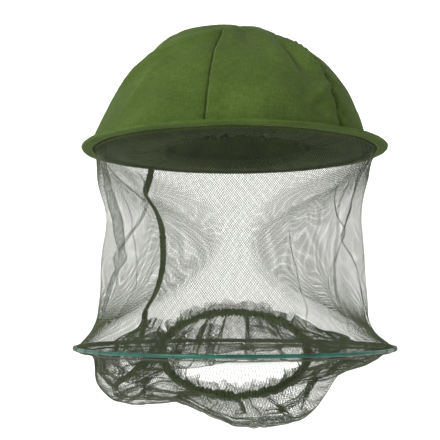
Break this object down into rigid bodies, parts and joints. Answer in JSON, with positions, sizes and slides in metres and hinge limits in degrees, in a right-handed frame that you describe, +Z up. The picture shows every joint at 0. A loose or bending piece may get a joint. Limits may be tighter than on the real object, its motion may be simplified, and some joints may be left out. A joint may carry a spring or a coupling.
{
  "type": "beekeeping veil",
  "caption": "Round pop-up beekeeping veil: gored cloth hat with a flat wired brim, and olive net hung on a coated wire hoop down to a gathered elastic neck band.",
  "frame": {"origin": "centre of the oval head opening, on the middle plane of the flat brim", "axes": "+Z up through the crown, the wearer looks along -Y, +X is the wearer's left"},
  "size_m": [0.3414, 0.3414, 0.419],
  "materials": {
    "hat_cloth": "woven cotton",
    "seam_tape": "woven tape",
    "net": "knitted net",
    "net_seam": "doubled knitted net",
    "thread": "sewing thread",
    "elastic": "covered elastic",
    "hoop_plastic": "extruded coating",
    "spring_steel": "drawn wire"
  },
  "bodies": {
    "hat": {"crown_panel_1": "hat_cloth", "crown_panel_2": "hat_cloth", "crown_panel_3": "hat_cloth", "crown_panel_4": "hat_cloth", "crown_panel_5": "hat_cloth", "crown_panel_6": "hat_cloth", "crown_seam_tape_1": "seam_tape", "crown_seam_tape_2": "seam_tape", "crown_seam_tape_3": "seam_tape", "crown_seam_tape_4": "seam_tape", "crown_seam_tape_5": "seam_tape", "crown_seam_tape_6": "seam_tape", "brim_top": "hat_cloth", "brim_facing": "hat_cloth", "brim_piping": "hat_cloth", "brim_wire": "spring_steel", "brim_ferrule": "spring_steel", "head_sleeve": "hat_cloth", "head_channel": "hat_cloth", "head_elastic": "elastic", "net_binding": "seam_tape", "veil_net": "net", "veil_seam": "net_seam"},
    "hoop": {"hoop_core": "spring_steel", "hoop_coating": "hoop_plastic", "hoop_ferrule": "spring_steel", "hoop_band": "net_seam", "hoop_loops": "thread", "bag_net": "net"},
    "neck": {"neck_channel": "net_seam", "neck_elastic": "elastic", "neck_ruffle": "net"}
  },
  "joints": [
    {"name": "hoop_lift", "type": "slide", "parent": "hat", "child": "hoop", "axis": [0, 0, 1], "range_m": [0, 0.18], "deforming": ["veil_net", "veil_seam"]},
    {"name": "neck_slide", "type": "slide", "parent": "hoop", "child": "neck", "axis": [0, 0, 1], "range_m": [-0.06, 0.01], "deforming": ["bag_net"]}
  ]
}
